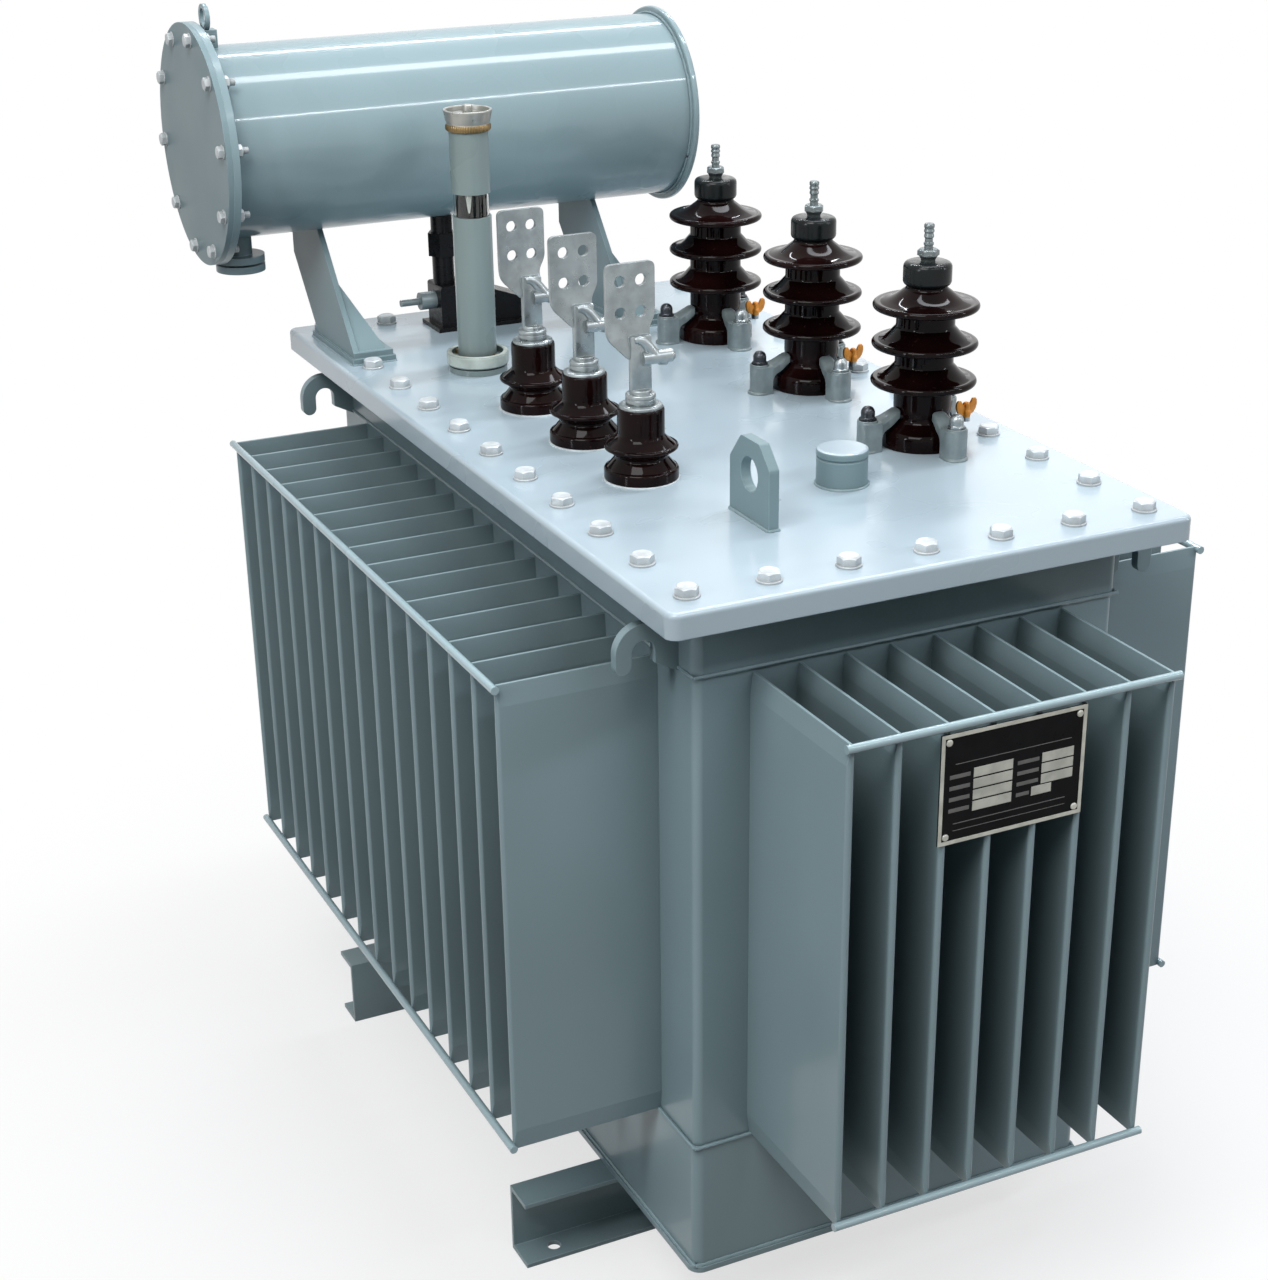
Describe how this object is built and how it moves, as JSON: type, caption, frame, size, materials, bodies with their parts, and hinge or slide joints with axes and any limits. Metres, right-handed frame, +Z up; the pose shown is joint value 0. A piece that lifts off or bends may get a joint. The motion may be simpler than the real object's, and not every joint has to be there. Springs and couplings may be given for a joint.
{
  "type": "oil-immersed power transformer",
  "caption": "Oil-immersed power transformer: corrugated tank with cooling fins, bolted lid, horizontal conservator, tall and short brown bushings, base channels.",
  "frame": {"origin": "midway between the four anchor holes, at the underside of the base channels", "axes": "+Z up; Y along the tank, with the nameplate end at -Y and the conservator at +Y; +X towards the high-voltage bushings' side"},
  "size_m": [0.972, 1.612, 1.4945],
  "materials": {
    "tank_paint": "satin enamel, blue-grey",
    "lid_paint": "satin enamel, pale blue-grey",
    "brown_porcelain": "dark brown glaze",
    "tinned_metal": "tinned, dull",
    "clamp_metal": "plated steel",
    "dark_cap": "black-green moulded cap",
    "gauge_glass": "glass over dark oil",
    "gauge_enamel": "pale grey-green enamel",
    "gauge_brass": "plated cap with a brass ring",
    "dark_fitting": "black enamel",
    "plate_metal": "black printed aluminium"
  },
  "bodies": {
    "root": {"base_channel_front": "tank_paint", "base_channel_rear": "tank_paint", "breather_flange": "tank_paint", "conservator_end_cap": "tank_paint", "conservator_end_cover": "tank_paint", "conservator_flange": "tank_paint", "conservator_leg_left": "tank_paint", "conservator_leg_right": "tank_paint", "conservator_lifting_eye": "tank_paint", "conservator_pipe": "dark_fitting", "conservator_shell": "tank_paint", "fin_rods_ends": "tank_paint", "fin_rods_sides": "tank_paint", "fins_front": "tank_paint", "fins_left": "tank_paint", "fins_rear": "tank_paint", "fins_right": "tank_paint", "gas_relay": "dark_fitting", "gauge_cap": "gauge_brass", "gauge_flange": "gauge_enamel", "gauge_glass": "gauge_glass", "gauge_tube": "gauge_enamel", "hv_base_1": "clamp_metal", "hv_base_2": "clamp_metal", "hv_base_3": "clamp_metal", "hv_caps": "dark_cap", "hv_porcelain_1": "brown_porcelain", "hv_porcelain_2": "brown_porcelain", "hv_porcelain_3": "brown_porcelain", "hv_terminal_1": "tinned_metal", "hv_terminal_2": "tinned_metal", "hv_terminal_3": "tinned_metal", "lid": "lid_paint", "lid_lifting_lug": "tank_paint", "lv_porcelain_1": "brown_porcelain", "lv_porcelain_2": "brown_porcelain", "lv_porcelain_3": "brown_porcelain", "lv_terminal_1": "tinned_metal", "lv_terminal_2": "tinned_metal", "lv_terminal_3": "tinned_metal", "nameplate": "plate_metal", "oil_filler": "tank_paint", "relay_valve": "clamp_metal", "tank_base_plate": "tank_paint", "tank_body": "tank_paint", "tank_flange": "tank_paint", "tank_lifting_hooks": "tank_paint"}
  },
  "joints": []
}
